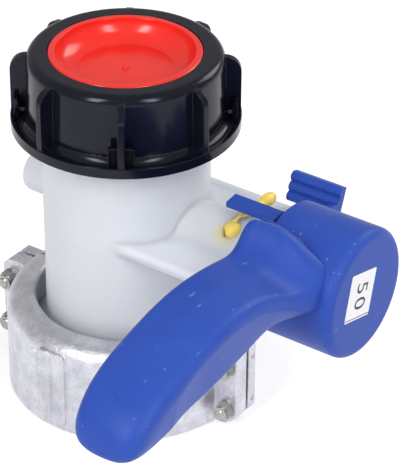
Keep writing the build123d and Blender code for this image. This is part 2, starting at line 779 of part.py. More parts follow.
def make_cap_nut():
    """Screw ring with a flange, wings and seal tabs. Its inner thread is left plain."""
    top_r = cap_root_r + cap_wall
    skirt_r = cap_root_r + cap_skirt_wall
    flange_outer_r = cap_root_r + cap_flange_reach
    opening_r = cap_root_r - cap_top_reach
    flange_top_z = cap_bottom_z + cap_flange_thickness
    groove_z = flange_top_z - cap_groove_depth
    ring = turned([
        (cap_root_r, cap_bottom_z),
        (flange_outer_r, cap_bottom_z),
        (flange_outer_r, flange_top_z),
        (flange_outer_r - cap_lip_width, flange_top_z),
        (flange_outer_r - cap_lip_width - cap_lip_slope, groove_z),
        (skirt_r, groove_z),
        (top_r, cap_top_z),
        (opening_r, cap_top_z),
        (opening_r, cap_lip_z),
        (cap_root_r, cap_lip_z),
    ])
    shoulder = ring.edges().filter_by(GeomType.CIRCLE).filter_by(
        lambda e: abs(e.radius - top_r) < 0.01)
    ring = fillet(shoulder, cap_shoulder_radius)
    wing_root_r = skirt_r - cap_wing_root_depth
    wing_outer_r = flange_outer_r - cap_wing_edge_inset
    wing_top_z = cap_top_z - cap_wing_top_drop
    wing = make_face(Polyline(
        (wing_root_r, 0, groove_z - 0.5),
        (wing_outer_r, 0, groove_z - 0.5),
        (wing_outer_r, 0, wing_top_z),
        (wing_root_r, 0, wing_top_z),
        close=True))
    outer_top = wing.vertices().sort_by(Axis.X)[-2:].sort_by(Axis.Z)[-1]
    wing = fillet(outer_top, cap_wing_top_radius)
    wing = extrude(wing, amount=cap_wing_thickness / 2, dir=(0, 1, 0), both=True)
    tab_x = flange_outer_r - seal_tab_inset - seal_tab_thickness / 2
    slot_x = tab_x - (seal_tab_thickness + seal_slot_length) / 2
    tab = Pos(tab_x, 0, groove_z + seal_tab_height / 2) * Box(
        seal_tab_thickness, seal_tab_width, seal_tab_height)
    slot = Pos(slot_x, 0, groove_z + seal_slot_lift + seal_slot_height / 2) * Box(
        seal_slot_length, 2 * cap_wing_thickness, seal_slot_height)
    for i in range(cap_wing_count):
        turn = Rot(0, 0, cap_first_wing_angle + i * 360 / cap_wing_count)
        ring += turn * wing
        if i % 2 == 0:
            ring += turn * tab
            ring -= turn * slot
    return ring


def make_cap_insert():
    """Dished closing insert that the screw ring presses on the spigot."""
    rim_r = cap_root_r - cap_top_reach - insert_rim_clearance
    bowl_r = rim_r - insert_rim_width
    floor_r = bowl_r - insert_bowl_run
    flange_outer_r = cap_root_r - insert_flange_inset
    rim_z = cap_top_z + insert_rise
    floor_z = rim_z - insert_bowl_depth
    under_z = floor_z - insert_floor_thickness
    outline = Polyline(
        (0, 0, under_z), (plug_r - insert_bowl_run, 0, under_z),
        (plug_r, 0, under_z + insert_plug_bevel), (plug_r, 0, gasket_top_z),
        (flange_outer_r, 0, gasket_top_z), (flange_outer_r, 0, insert_flange_top_z),
        (rim_r, 0, insert_flange_top_z), (rim_r, 0, rim_z), (bowl_r, 0, rim_z))
    bowl = ThreePointArc(
        (bowl_r, 0, rim_z),
        ((bowl_r + floor_r) / 2 + insert_bowl_sag, 0, floor_z + insert_bowl_lift),
        (floor_r, 0, floor_z))
    closing = Polyline((floor_r, 0, floor_z), (0, 0, floor_z), (0, 0, under_z))
    insert = revolve(make_face([outline, bowl, closing]), Axis.Z)
    rim_edge = insert.edges().filter_by(GeomType.CIRCLE).filter_by(
        lambda e: abs(e.radius - rim_r) < 0.01).sort_by(Axis.Z)[-1]
    insert = fillet(rim_edge, insert_rim_rounding)
    nub = z_cylinder(insert_nub_d / 2, floor_z - 0.5, floor_z + insert_nub_height)
    return insert + fillet(nub.faces().sort_by(Axis.Z)[-1].edges(), insert_nub_rounding)


def make_cap_gasket():
    """Flat ring between the insert and the end of the spigot."""
    ring = z_cylinder(thread_root_r, spout_top_z, gasket_top_z)
    return ring - z_cylinder(plug_r + gasket_clearance, 0, gasket_top_z + 1)


def main():
    os.makedirs("parts", exist_ok=True)
    nodes = {
        "valve_body": make_valve_body(),
        "inlet_gasket": make_inlet_gasket(),
        "clamp_front_half": make_clamp_front_half(),
        "clamp_rear_half": make_clamp_rear_half(),
        "clamp_bolts": make_clamp_bolts(),
        "clamp_washers": make_clamp_washers(),
        "clamp_nuts": make_clamp_nuts(),
        "nut_rings": make_nut_rings(),
        "spindle": make_spindle(),
        "spindle_orings": make_spindle_orings(),
        "butterfly_disc": make_butterfly_disc(),
        "disc_seal": make_disc_seal(),
        "retaining_pin": make_retaining_pin(),
        "handle": make_handle(),
        "latch": make_latch(),
        "latch_pin": make_latch_pin(),
        "cap_nut": make_cap_nut(),
        "cap_insert": make_cap_insert(),
        "cap_gasket": make_cap_gasket(),
    }
    for name, shape in nodes.items():
        if isinstance(shape, list):
            shape = Compound(children=shape)
        export_step(shape, f"parts/{name}.step")
        print(name, round(shape.volume, 1))


main()
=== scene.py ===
# %% [markdown]
# # An outlet valve for a liquid tank
#
# The solid parts of this valve were drawn in a CAD program. This file dresses them: it gives
# each piece its finish, adds the thread and the size label, and sets up the light and the
# camera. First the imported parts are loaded. They stay exactly where they are.

# %% Load the valve
import math

import bpy
import bmesh
from mathutils import Matrix, Vector


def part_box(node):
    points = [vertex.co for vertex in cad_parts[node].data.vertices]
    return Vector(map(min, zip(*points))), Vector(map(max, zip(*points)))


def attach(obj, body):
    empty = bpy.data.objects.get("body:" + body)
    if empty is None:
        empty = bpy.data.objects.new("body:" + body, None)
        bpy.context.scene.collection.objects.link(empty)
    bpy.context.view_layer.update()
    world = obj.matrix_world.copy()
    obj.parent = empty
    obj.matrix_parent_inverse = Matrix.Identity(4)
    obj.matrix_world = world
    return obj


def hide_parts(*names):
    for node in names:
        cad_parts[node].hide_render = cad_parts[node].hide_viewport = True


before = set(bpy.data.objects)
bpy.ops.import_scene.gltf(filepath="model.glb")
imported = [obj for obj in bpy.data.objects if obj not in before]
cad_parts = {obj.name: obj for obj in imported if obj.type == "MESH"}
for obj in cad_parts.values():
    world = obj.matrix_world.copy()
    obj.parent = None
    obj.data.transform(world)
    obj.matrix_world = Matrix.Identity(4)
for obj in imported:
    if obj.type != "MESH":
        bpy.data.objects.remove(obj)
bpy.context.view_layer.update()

# %% [markdown]
# ## Camera
#
# A product photograph is taken from far away with a long lens, so that the valve keeps its
# proportions. The camera's place was worked out from the round edges of the cap, the clamp and
# the hub, because a circle shows as an ellipse whose shape depends on where we stand.

# %% Camera


def linked(name, data):
    """A new object in the scene that shows the data."""
    made = bpy.data.objects.new(name, data)
    bpy.context.scene.collection.objects.link(made)
    return made


camera_data = bpy.data.cameras.new("camera")
camera_data.sensor_fit = "VERTICAL"
camera_data.sensor_height = 36.0
camera_data.lens = 184.7
camera = linked("camera", camera_data)
camera.location = (0.5462, -0.7199, 0.6453)
camera.rotation_euler = [math.radians(a) for a in (57.717, -0.363, 35.370)]
bpy.context.scene.camera = camera
print("camera stands", round(camera.location.length, 3), "m from the clamp")

# %% [markdown]
# ## Writing a material as a sum
#
# A finish is worked out by a chain of small nodes. Linked by hand they are hard to read, so
# one small class wraps a node's output and lets us write the chain as arithmetic. Adding two
# of them adds a Math node. The class Finish holds one material and has one method for every
# other kind of node.

# %% Helpers for materials


class Value:
    """The output of a node, on which arithmetic adds Math nodes."""

    def __init__(self, finish, socket):
        self.finish = finish
        self.socket = socket

    def math(self, operation, *others):
        inputs = dict(enumerate((self,) + others))
        return self.finish.node("ShaderNodeMath", {"operation": operation}, inputs)

    def __add__(self, other):
        return self.math("ADD", other)

    def __radd__(self, other):
        return self.math("ADD", other)

    def __mul__(self, other):
        return self.math("MULTIPLY", other)

    def __rmul__(self, other):
        return self.math("MULTIPLY", other)

    def __sub__(self, other):
        return self.math("SUBTRACT", other)

    def __rsub__(self, other):
        start = self.finish.node("ShaderNodeMath", {"operation": "MULTIPLY"}, {0: self, 1: -1.0})
        return start.math("ADD", other)

    def between(self, low, high):
        """0 below low, 1 above high, with a soft ramp between them."""
        settings = {"interpolation_type": "SMOOTHSTEP"}
        inputs = {"Value": self, "From Min": low, "From Max": high}
        return self.finish.node("ShaderNodeMapRange", settings, inputs)


class Finish:
    """One material, with a Principled shader whose sockets take numbers or Values."""

    def __init__(self, name, **shader):
        self.material = bpy.data.materials.new(name)
        self.material.use_nodes = True
        self.tree = self.material.node_tree
        self.shader = self.tree.nodes["Principled BSDF"]
        self.place = self.node("ShaderNodeTexCoord", output="Object")
        self.set(**shader)

    def node(self, kind, settings=None, inputs=None, output=0):
        made = self.tree.nodes.new(kind)
        for key, value in (settings or {}).items():
            setattr(made, key, value)
        for key, value in (inputs or {}).items():
            if isinstance(value, Value):
                self.tree.links.new(value.socket, made.inputs[key])
            else:
                made.inputs[key].default_value = value
        return Value(self, made.outputs[output])

    def set(self, **shader):
        for key, value in shader.items():
            socket = self.shader.inputs[key.replace("_", " ")]
            if isinstance(value, Value):
                self.tree.links.new(value.socket, socket)
            else:
                socket.default_value = value

    def noise(self, scale, detail=2.0, roughness=0.5, stretch=(1, 1, 1)):
        """Cloudy noise with features of about 1/scale metres."""
        place = self.node("ShaderNodeVectorMath", {"operation": "MULTIPLY"},
                          {0: self.place, 1: stretch})
        return self.node("ShaderNodeTexNoise", None, {
            "Vector": place, "Scale": scale, "Detail": detail, "Roughness": roughness})

    def mix(self, share, first, second):
        """A colour between two others."""
        return self.node("ShaderNodeMix", {"data_type": "RGBA"},
                         {"Factor": share, 6: first, 7: second}, output=2)

    def bump(self, height, depth, softened=0.0):
        """Raise the surface by height, whose full range is depth metres.

        Where softened is given, edges are shaded as if they were rounded by that radius.
        """
        inputs = {"Height": height, "Distance": depth}
        if softened:
            inputs["Normal"] = self.node("ShaderNodeBevel", {"samples": 8}, {"Radius": softened})
        self.set(Normal=self.node("ShaderNodeBump", None, inputs))


def colour(red, green, blue):
    """A colour as a screen shows it, from 0 to 255, turned into the light's own scale."""
    parts = []
    for part in (red, green, blue):
        share = part / 255
        parts.append(share / 12.92 if share <= 0.04045 else ((share + 0.055) / 1.055) ** 2.4)
    return (*parts, 1.0)


print("helpers ready:", Value.__name__, Finish.__name__, colour.__name__)

# %% [markdown]
# ## Natural plastic of the valve body
#
# The tube is moulded in polyethylene without a dye. It is milky: light goes a few millimetres
# in and comes out again, which subsurface scattering does. The skin of the mould leaves very
# shallow waves, so a faint bump keeps the highlight from looking like glass. The yellow pin's
# front end lies in the wall of the neck and its light shines through it. That light is painted:
# near the pin the base colour turns yellow, a painted glow fading within a few millimetres.
# The neck and the web run into the tube in soft fillets, so the shading of the edges there is
# softened widely.

# %% Natural plastic
natural = Finish("natural_polyethylene", Subsurface_Weight=0.8, Subsurface_Scale=0.012,
                 Subsurface_Radius=(1.0, 1.0, 1.1), IOR=1.5)
cloud = natural.noise(45.0, detail=3.0)
milky = natural.mix(cloud, colour(213, 217, 225), colour(222, 225, 232))
# Painted glow: near the pin the base colour is mixed towards yellow, standing for the pin's
# light shining through the wall.
pin_place = (0.059, -0.0078, 0.1)
painted_glow_start, painted_glow_end = 0.0025, 0.0075
painted_glow_share = 0.75
from_pin = natural.node("ShaderNodeVectorMath", {"operation": "DISTANCE"},
                        {0: natural.place, 1: pin_place}, output="Value")
painted_pin_glow = painted_glow_share - painted_glow_share * from_pin.between(painted_glow_start, painted_glow_end)
natural.set(Base_Color=natural.mix(painted_pin_glow, milky, colour(240, 222, 140)))
natural.set(Roughness=0.34 + 0.10 * natural.noise(160.0))
natural.bump(natural.noise(90.0) + 0.15 * natural.noise(1400.0), 0.00012, softened=0.008)
print("made", natural.material.name)

# %% [markdown]
# ## Blue plastic of the handle and latch
#
# The handle is dyed right through and comes out of a lightly grained mould. Handling leaves
# fine pale scuffs. They come from a stretched noise of which only the thin peaks are kept.

# %% Blue plastic
blue = Finish("blue_plastic", IOR=1.46, Specular_IOR_Level=0.2)
cloud = blue.noise(60.0, detail=4.0)
scuff = blue.noise(420.0, detail=1.0, stretch=(1.0, 0.25, 1.6)).between(0.72, 0.80)
body_colour = blue.mix(cloud, colour(40, 72, 164), colour(52, 84, 178))
blue.set(Base_Color=blue.mix(scuff * 0.35, body_colour, colour(140, 162, 222)))
blue.set(Roughness=0.36 + 0.12 * cloud + 0.1 * scuff)
blue.bump(blue.noise(2600.0) + 0.6 * blue.noise(120.0), 0.00006, softened=0.0005)
print("made", blue.material.name)

# %% [markdown]
# ## Glossy plastics of the cap, insert and pin
#
# These are smooth mouldings. What tells them from glass is a slight unevenness of the gloss
# and a faint long wave in the surface, where the plastic shrank over the ribs.

# %% Glossy plastics


def glossy(name, low, high, roughness, wave):
    """A smooth moulded plastic between two close colours."""
    made = Finish(name, IOR=1.5)
    cloud = made.noise(70.0, detail=3.0)
    made.set(Base_Color=made.mix(cloud, low, high))
    made.set(Roughness=roughness + 0.08 * made.noise(220.0))
    made.bump(made.noise(wave) + 0.1 * made.noise(1800.0), 0.00010, softened=0.0006)
    print("made", name)
    return made


black = glossy("black_plastic", colour(11, 12, 21), colour(20, 21, 33), 0.12, 60.0)
black.set(Specular_IOR_Level=0.27, Specular_Tint=(0.84, 0.87, 1.0, 1.0))
# Painted shade: a far darker, duller black for the sunk faces of the seal pockets, standing for
# the shadow inside them.
pocket_shade_black = glossy("black_painted_pocket_shade", colour(5, 5, 8), colour(9, 9, 13), 0.55, 90.0)
pocket_shade_black.set(Specular_IOR_Level=0.08)
red = glossy("red_plastic", colour(226, 34, 24), colour(238, 46, 34), 0.16, 60.0)
yellow = glossy("yellow_plastic", colour(244, 210, 92), colour(250, 222, 112), 0.30, 150.0)
yellow.set(Subsurface_Weight=0.2, Subsurface_Scale=0.003)

# %% [markdown]
# ## Metals
#
# The clamp is cast and then tumbled with stones, which leaves a dull mottled skin with small
# dents. The fasteners are plain stainless steel, turned and rolled, and shine more.

# %% Metals
cast = Finish("cast_aluminium", Metallic=0.9, IOR=1.45)
patches = cast.noise(95.0, detail=4.0, roughness=0.65).between(0.30, 0.68)
grit = cast.noise(700.0, detail=4.0, roughness=0.7)
dents = cast.noise(420.0, detail=2.0).between(0.60, 0.74)
scratch = cast.noise(900.0, detail=1.0, stretch=(0.12, 1.0, 0.5)).between(0.70, 0.76)
skin = cast.mix(patches, colour(198, 198, 206), colour(224, 224, 230))
skin = cast.mix(grit.between(0.50, 0.72) * 0.35, skin, colour(140, 140, 150))
cast.set(Base_Color=cast.mix(scratch * 0.6, skin, colour(248, 248, 250)))
cast.set(Roughness=0.22 + 0.22 * grit + 0.08 * patches)
cast.bump(0.5 * patches - 0.5 * dents + 0.6 * grit + 0.2 * cast.noise(2200.0), 0.00035,
          softened=0.0010)

steel = Finish("stainless_steel", Metallic=1.0)
streak = steel.noise(500.0, detail=3.0, stretch=(1.0, 0.2, 1.0))
steel.set(Base_Color=steel.mix(streak, colour(140, 138, 134), colour(206, 204, 200)))
steel.set(Roughness=0.20 + 0.25 * streak)
steel.bump(streak, 0.00005)
print("made", cast.material.name, "and", steel.material.name)

# %% [markdown]
# ## Rubber, nylon and the spindle
#
# These show only inside the valve, through the open end or when the cap is unscrewed.

# %% Rubber, nylon and the spindle
rubber = Finish("seal_rubber")
rubber.set(Base_Color=rubber.mix(rubber.noise(300.0), colour(30, 30, 32), colour(44, 44, 46)))
rubber.set(Roughness=0.55 + 0.2 * rubber.noise(600.0))
rubber.bump(rubber.noise(2200.0), 0.00004)

nylon = Finish("natural_nylon", Subsurface_Weight=0.2, Subsurface_Scale=0.002)
nylon.set(Base_Color=nylon.mix(nylon.noise(400.0), colour(226, 224, 212), colour(236, 234, 224)))
nylon.set(Roughness=0.35 + 0.15 * nylon.noise(500.0))
nylon.bump(nylon.noise(900.0), 0.00004)

filled = Finish("filled_nylon")
speck = filled.noise(900.0, detail=3.0)
filled.set(Base_Color=filled.mix(speck, colour(150, 154, 160), colour(176, 180, 184)))
filled.set(Roughness=0.40 + 0.2 * speck)
filled.bump(speck, 0.00005)
print("made", rubber.material.name, nylon.material.name, filled.material.name)

# %% [markdown]
# ## Putting the finishes on
#
# Each CAD piece has one material slot. A list from finish to pieces keeps this in one place.

# %% Give each piece its finish
worn_by = [
    (natural, ["valve_body", "butterfly_disc"]),
    (cast, ["clamp_front_half", "clamp_rear_half"]),
    (steel, ["clamp_bolts", "clamp_washers", "clamp_nuts", "latch_pin"]),
    (nylon, ["nut_rings"]),
    (rubber, ["inlet_gasket", "spindle_orings", "disc_seal", "cap_gasket"]),
    (filled, ["spindle"]),
    (blue, ["handle", "latch"]),
    (black, ["cap_nut"]),
    (red, ["cap_insert"]),
    (yellow, ["retaining_pin"]),
]
for finish, names in worn_by:
    for name in names:
        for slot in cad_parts[name].material_slots:
            slot.material = finish.material
print("dressed", sum(len(names) for _, names in worn_by), "pieces")

# %% [markdown]
# ## The rounded tip of the lever
#
# The real lever ends in a soft nose that the hand slides off easily. The CAD handle stops a
# little more squarely there, so this step makes a handle of its own: the CAD mesh is copied and
# cut off near the tip, and rings of points carry on from the cut. Each ring is the cut outline
# again, lower and smaller, by a curve that starts level and ends round. The copy keeps the CAD
# surface's own shading, and it stands in for the CAD handle.

# %% Rounded tip
cut_y = -0.120
merge_distance = 1e-6
cut_tolerance = 1e-5
tip_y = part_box("handle")[0][1]
nose_rings = 20
width_power = 4.5
height_power = 2.8
top_slope = 0.30
low_slope = 0.12
end_height_share = 0.30
end_roundness = 2.3
rounding_onset = 1.5


def cut_outline(shape, cut_edges):
    """The points of the cut, in the order in which its edges join them."""
    first = cut_edges[0].verts[0]
    outline = [first]
    before, here = None, first
    cut = set(cut_edges)
    while True:
        ahead = [e for e in here.link_edges if e in cut and e is not before][0]
        before, here = ahead, ahead.other_vert(here)
        if here is first:
            return outline
        outline.append(here)


def nose_middle(low_z, top_z, beyond):
    """The height towards which the outline shrinks, at a distance beyond the cut."""
    low = low_z - beyond * low_slope
    top = top_z - beyond * top_slope
    return low + (top - low) * end_height_share


def rounded_handle(source):
    """The CAD handle's mesh with a round nose in place of its square tip."""
    mesh = source.copy()
    mesh.name = "rounded_handle"
    kept = mesh.attributes.new("kept_normal", "FLOAT_VECTOR", "CORNER")
    for corner, normal in enumerate(source.corner_normals):
        kept.data[corner].vector = normal.vector
    shape = bmesh.new()
    shape.from_mesh(mesh)
    bmesh.ops.remove_doubles(shape, verts=shape.verts, dist=merge_distance)
    bmesh.ops.bisect_plane(shape, geom=shape.verts[:] + shape.edges[:] + shape.faces[:],
                           dist=merge_distance, plane_co=(0, cut_y, 0), plane_no=(0, -1, 0),
                           clear_outer=True)
    rim_edges = [e for e in shape.edges
                 if e.is_boundary and e.verts[0].co.y < cut_y + cut_tolerance]
    outline = cut_outline(shape, rim_edges)
    flat = [(v.co.x, v.co.z) for v in outline]
    middle_x = (min(x for x, _ in flat) + max(x for x, _ in flat)) / 2
    low_z, top_z = min(z for _, z in flat), max(z for _, z in flat)
    reach = cut_y - tip_y
    half_width = middle_x - min(x for x, _ in flat)
    half_height = (top_z - low_z) / 2
    swell = [1 / (abs((x - middle_x) / half_width) ** end_roundness
                  + abs((z - low_z - half_height) / half_height) ** end_roundness)
             ** (1 / end_roundness) for x, z in flat]
    before = outline
    for step in range(1, nose_rings):
        share = math.sin(math.pi / 2 * step / nose_rings)
        width = (1 - share ** width_power) ** (1 / width_power)
        height = (1 - share ** height_power) ** (1 / height_power)
        middle_z = nose_middle(low_z, top_z, reach * share)
        ring = []
        for (x, z), rounder in zip(flat, swell):
            rounder = 1 + (rounder - 1) * share ** rounding_onset
            x = middle_x + (x - middle_x) * rounder
            z = low_z + half_height + (z - low_z - half_height) * rounder
            slope = low_slope + (top_slope - low_slope) * (z - low_z) / (top_z - low_z)
            sunk = z - reach * share * slope
            ring.append(shape.verts.new((middle_x + (x - middle_x) * width,
                                         cut_y - reach * share,
                                         middle_z + (sunk - middle_z) * height)))
        for i in range(len(ring)):
            j = (i + 1) % len(ring)
            shape.faces.new((before[i], before[j], ring[j], ring[i])).smooth = True
        before = ring
    end = shape.verts.new((middle_x, tip_y, nose_middle(low_z, top_z, reach)))
    for i in range(len(before)):
        shape.faces.new((before[i], before[(i + 1) % len(before)], end)).smooth = True
    bmesh.ops.recalc_face_normals(shape, faces=shape.faces)
    shape.to_mesh(mesh)
    shape.free()
    normals = [tuple(c.vector) for c in mesh.attributes["kept_normal"].data]
    mesh.attributes.remove(mesh.attributes["kept_normal"])
    mesh.normals_split_custom_set(normals)
    print("cut outline has", len(outline), "points")
    return mesh


cad_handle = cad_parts["handle"]
lever = linked("rounded_handle", rounded_handle(cad_handle.data))
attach(lever, "handle_group")
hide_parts("handle")
print("handle now has", len(lever.data.polygons), "faces")

# %% [markdown]
# ## The coarse thread under the cap
#
# The spigot carries a coarse thread, 6 mm from turn to turn, and the screw ring has its
# counterpart inside. A thread is a small profile that climbs as it goes round, so a ring of
# points is placed at each step of the angle and joined to the next. At both ends the profile
# sinks into the wall, as it does on a moulded thread. The ridge inside the ring runs half a
# pitch higher, in the gaps of the other one, so the two never touch, whichever way it is
# turned.

# %% Threads
pitch = 0.006
thread_turns = 2.3
steps_per_turn = 72
fading_steps = 10
crest_half_width = 0.0006
root_half_width = 0.0015
sunk_half_width = 0.0016
sunk_depth = 0.0004
faded_depth = 0.0003
spigot_wall_r, spigot_crest_r = 0.0348, 0.0369
ring_wall_r, ring_crest_r = 0.0379, 0.0360
spigot_thread_z = 0.1405
ring_thread_z = spigot_thread_z + pitch / 2


def thread(name, wall, crest, first_height, body, finish):
    """A helical ridge from the wall's radius to the crest's radius, in metres."""
    mesh = bpy.data.meshes.new(name)
    shape = bmesh.new()
    inward = -1 if crest < wall else 1
    sunk = wall - inward * sunk_depth
    profile = [(sunk, -sunk_half_width), (wall, -root_half_width), (crest, -crest_half_width),
               (crest, crest_half_width), (wall, root_half_width), (sunk, sunk_half_width)]
    faded = wall - inward * faded_depth
    steps = int(thread_turns * steps_per_turn)
    rings = []
    for step in range(steps + 1):
        angle = 2 * math.pi * step / steps_per_turn
        rise = min(1.0, step / fading_steps, (steps - step) / fading_steps)
        ring = []
        for radius, height in profile:
            r = faded + (radius - faded) * rise
            z = first_height + pitch * step / steps_per_turn + height
            ring.append(shape.verts.new((r * math.cos(angle), r * math.sin(angle), z)))
        rings.append(ring)
    for ring, following in zip(rings, rings[1:]):
        for i in range(len(ring)):
            j = (i + 1) % len(ring)
            shape.faces.new((ring[i], ring[j], following[j], following[i]))
    bmesh.ops.recalc_face_normals(shape, faces=shape.faces)
    for face in shape.faces:
        face.smooth = True
    shape.to_mesh(mesh)
    shape.free()
    mesh.materials.append(finish.material)
    piece = linked(name, mesh)
    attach(piece, body)
    print(name, "has", len(mesh.polygons), "faces")
    return piece


spigot_thread = thread("spigot_thread", spigot_wall_r, spigot_crest_r, spigot_thread_z,
                       "valve", natural)
ring_thread = thread("cap_ring_thread", ring_wall_r, ring_crest_r, ring_thread_z,
                     "cap_screw", black)

# %% [markdown]
# ## The web's front edge
#
# On the real body the web beside the neck ends in a plain flat edge. The CAD body has a round
# rail there, as at the rear. The rail is planed down: a copy of the body loses what lies beyond
# the edge, above it and below it, by three cutting blocks whose inner side is curved like the
# tube, so that the tube itself isn't touched. A Boolean modifier does each cut exactly.

# %% Plane the web's edge
tube_r = 0.0370
tube_clearance = 0.00004
arc_steps = 16
edge_y = -0.0328
rail_root_y = -0.0280
block_start_x, block_end_x = 0.008, 0.0735
block_front_y = -0.0400
shaft_z = 0.0902
edge_half_height = 0.0025
block_half_height = 0.0048


def cutting_block(name, inner_y, low_z, high_z):
    """A block in front of inner_y and outside the tube, between two heights."""
    radius = tube_r + tube_clearance
    meet_x = math.sqrt(radius ** 2 - inner_y ** 2)
    start_y = -math.sqrt(radius ** 2 - block_start_x ** 2)
    start, end = math.atan2(inner_y, meet_x), math.atan2(start_y, block_start_x)
    outline = [(block_end_x, inner_y)]
    for step in range(arc_steps + 1):
        angle = start + (end - start) * step / arc_steps
        outline.append((radius * math.cos(angle), radius * math.sin(angle)))
    outline += [(block_start_x, block_front_y), (block_end_x, block_front_y)]
    shape = bmesh.new()
    low = [shape.verts.new((x, y, low_z)) for x, y in outline]
    high = [shape.verts.new((x, y, high_z)) for x, y in outline]
    shape.faces.new(low)
    shape.faces.new(high)
    for i in range(len(outline)):
        j = (i + 1) % len(outline)
        shape.faces.new((low[i], low[j], high[j], high[i]))
    bmesh.ops.recalc_face_normals(shape, faces=shape.faces)
    mesh = bpy.data.meshes.new(name)
    shape.to_mesh(mesh)
    shape.free()
    return linked(name, mesh)


body_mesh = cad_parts["valve_body"].data.copy()
body_mesh.attributes.remove(body_mesh.attributes["custom_normal"])
shape = bmesh.new()
shape.from_mesh(body_mesh)
bmesh.ops.remove_doubles(shape, verts=shape.verts, dist=merge_distance)
shape.to_mesh(body_mesh)
shape.free()
planed = linked("planed_body", body_mesh)
cuts = [
    ("beyond", edge_y, shaft_z - block_half_height, shaft_z + block_half_height),
    ("above", rail_root_y, shaft_z + edge_half_height, shaft_z + block_half_height),
    ("below", rail_root_y, shaft_z - block_half_height, shaft_z - edge_half_height),
]
blocks = []
for name, inner_y, low_z, high_z in cuts:
    cut = planed.modifiers.new(name, "BOOLEAN")
    cut.operation = "DIFFERENCE"
    cut.solver = "EXACT"
    cut.object = cutting_block(name, inner_y, low_z, high_z)
    blocks.append(cut.object)
reached = bpy.context.evaluated_depsgraph_get()
cut_mesh = bpy.data.meshes.new_from_object(planed.evaluated_get(reached))
planed.modifiers.clear()
planed.data = cut_mesh
for block in blocks:
    bpy.data.objects.remove(block)
for face in cut_mesh.polygons:
    face.use_smooth = True
cut_mesh.set_sharp_from_angle(angle=math.radians(35))
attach(planed, "valve")
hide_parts("valve_body")
print("planed body has", len(cut_mesh.polygons), "faces")

# %% [markdown]
# ## Foot of the cap's wall and the pin's front end
#
# The wall of the screw ring runs into the groove of its flange in a hollow rounding, which
# catches two bright arcs of light. It is a profile turned about the cap's axis. The pin's front
# end is a bulb that stands a little out of the neck, turned about the pin's own axis.

# %% Turned pieces


def turned_piece(name, profile, place, turn, body, finish):
    """A smooth surface: (radius, height) points turned about an upright axis, then placed."""
    around = 96
    mesh = bpy.data.meshes.new(name)
    shape = bmesh.new()
    rings = []
    for step in range(around):
        angle = 2 * math.pi * step / around
        rings.append([shape.verts.new((r * math.cos(angle), r * math.sin(angle), z))
                      for r, z in profile])
    for step in range(around):
        ring, following = rings[step], rings[(step + 1) % around]
        for i in range(len(profile)):
            j = (i + 1) % len(profile)
            shape.faces.new((ring[i], following[i], following[j], ring[j])).smooth = True
    bmesh.ops.recalc_face_normals(shape, faces=shape.faces)
    shape.transform(Matrix.Translation(place) @ turn)
    shape.to_mesh(mesh)
    shape.free()
    mesh.set_sharp_from_angle(angle=math.radians(50))
    mesh.materials.append(finish.material)
    piece = linked(name, mesh)
    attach(piece, body)
    print(name, "has", len(mesh.polygons), "faces")


groove_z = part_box("cap_nut")[0][2] + 0.0032
wall_foot_r = 0.0434
hollow = 0.0036
root_r, root_z = wall_foot_r - 0.0006, groove_z - 0.0003
foot_steps = 10
foot_profile = [(root_r, root_z), (root_r, groove_z + hollow)]
for step in range(foot_steps + 1):
    angle = math.pi * (1 + step / foot_steps / 2)
    foot_profile.append((wall_foot_r + hollow + hollow * math.cos(angle),
                         groove_z + hollow + hollow * math.sin(angle)))
foot_profile.append((wall_foot_r + hollow, root_z))
turned_piece("cap_wall_foot", foot_profile, Vector((0, 0, 0)), Matrix.Identity(4),
             "cap_screw", black)

bulb_r = 0.0036
bulb_half_length = 0.0044
bulb_fuller_front = 0.12
bulb_pole = 0.002
bulb_place = Vector((0.0612, -0.0054, 0.1014))
bulb_steps = 24
bulb_profile = []
for step in range(bulb_steps + 1):
    along = math.cos(math.pi * step / bulb_steps)
    across = max(math.sqrt(1 - min(along ** 2, 1)), bulb_pole)
    fullness = 1 + bulb_fuller_front * along
    bulb_profile.append((bulb_r * across * fullness, bulb_half_length * along))
turned_piece("pin_bulb", bulb_profile, bulb_place,
             Matrix.Rotation(math.radians(90), 4, "X"), "valve", yellow)

# %% [markdown]
# ## Seal pockets of the cap
#
# At four of the wings the flange carries a small upright frame, through which a seal wire can be
# drawn. The CAD ring has the plain tab. Here each one gets its raised rim, made of three bars
# with rounded edges, in front of a sunk face that is rougher, duller and far darker than the
# rest. Its dark colour is painted shade, standing for the shadow deep in the pocket. The bars
# are laid out at the cap's front once and turned into place.

# %% Seal pockets
flange_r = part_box("cap_nut")[1][1]
tab_face_r = flange_r - 0.0026
bar_root_r = tab_face_r - 0.0012
recess_front_r = tab_face_r + 0.0001
pocket_height = 0.0102
pocket_half_width = 0.0056
rim_width = 0.0006
rim_front_r = tab_face_r + 0.0008
rim_rounding, recess_rounding = 0.00012, 0.00004
tab_count = 4
first_tab_angle = -55.5


def bars_on_cap(name, angle, bars, rounding, finish):
    """Bars given by their radius, sideways and height ranges, at an angle round the cap."""
    mesh = bpy.data.meshes.new(name)
    shape = bmesh.new()
    for ranges in bars:
        made = bmesh.ops.create_cube(shape, size=1.0)["verts"]
        for vertex in made:
            share = [c + 0.5 for c in vertex.co]
            vertex.co = [low + (high - low) * s for (low, high), s in zip(ranges, share)]
    bmesh.ops.bevel(shape, geom=shape.edges[:], offset=rounding, segments=2, affect="EDGES")
    shape.transform(Matrix.Rotation(math.radians(angle), 4, "Z"))
    shape.to_mesh(mesh)
    shape.free()
    mesh.materials.append(finish.material)
    piece = linked(name, mesh)
    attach(piece, "cap_screw")


